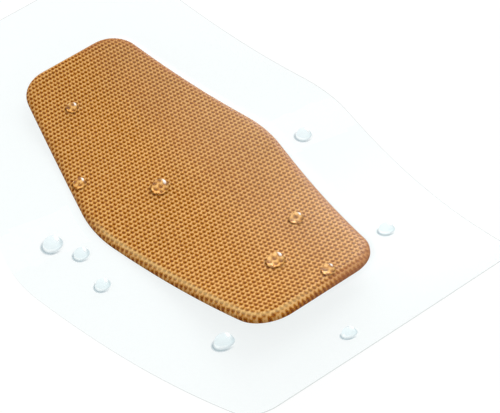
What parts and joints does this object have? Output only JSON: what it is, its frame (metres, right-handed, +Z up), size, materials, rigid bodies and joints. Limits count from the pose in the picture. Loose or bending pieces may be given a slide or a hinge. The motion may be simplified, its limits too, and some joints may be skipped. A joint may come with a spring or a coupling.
{
  "type": "clear adhesive bandage",
  "caption": "Long hexagonal clear film bandage with a raised tan absorbent pad under its middle, curled up a little at both ends, with beads of water standing on it.",
  "frame": {"origin": "centre of the bounding box at its base, the surface that the bandage rests on", "axes": "+X along the length towards the end that curls up more, +Y across the width, +Z up, away from the side that sticks to the skin"},
  "size_m": [0.087, 0.0536, 0.0108],
  "materials": {
    "clear_film": "smooth transparent polyurethane film",
    "pad_net": "tan net with rows of small openings",
    "water": "clear water"
  },
  "bodies": {
    "root": {"clear_film": "clear_film", "absorbent_pad": "pad_net", "water_drop_01": "water", "water_drop_02": "water", "water_drop_03": "water", "water_drop_04": "water", "water_drop_05": "water", "water_drop_06": "water", "water_drop_07": "water", "water_drop_08": "water", "water_drop_09": "water", "water_drop_10": "water", "water_drop_11": "water", "water_drop_12": "water", "water_drop_13": "water"}
  },
  "joints": []
}
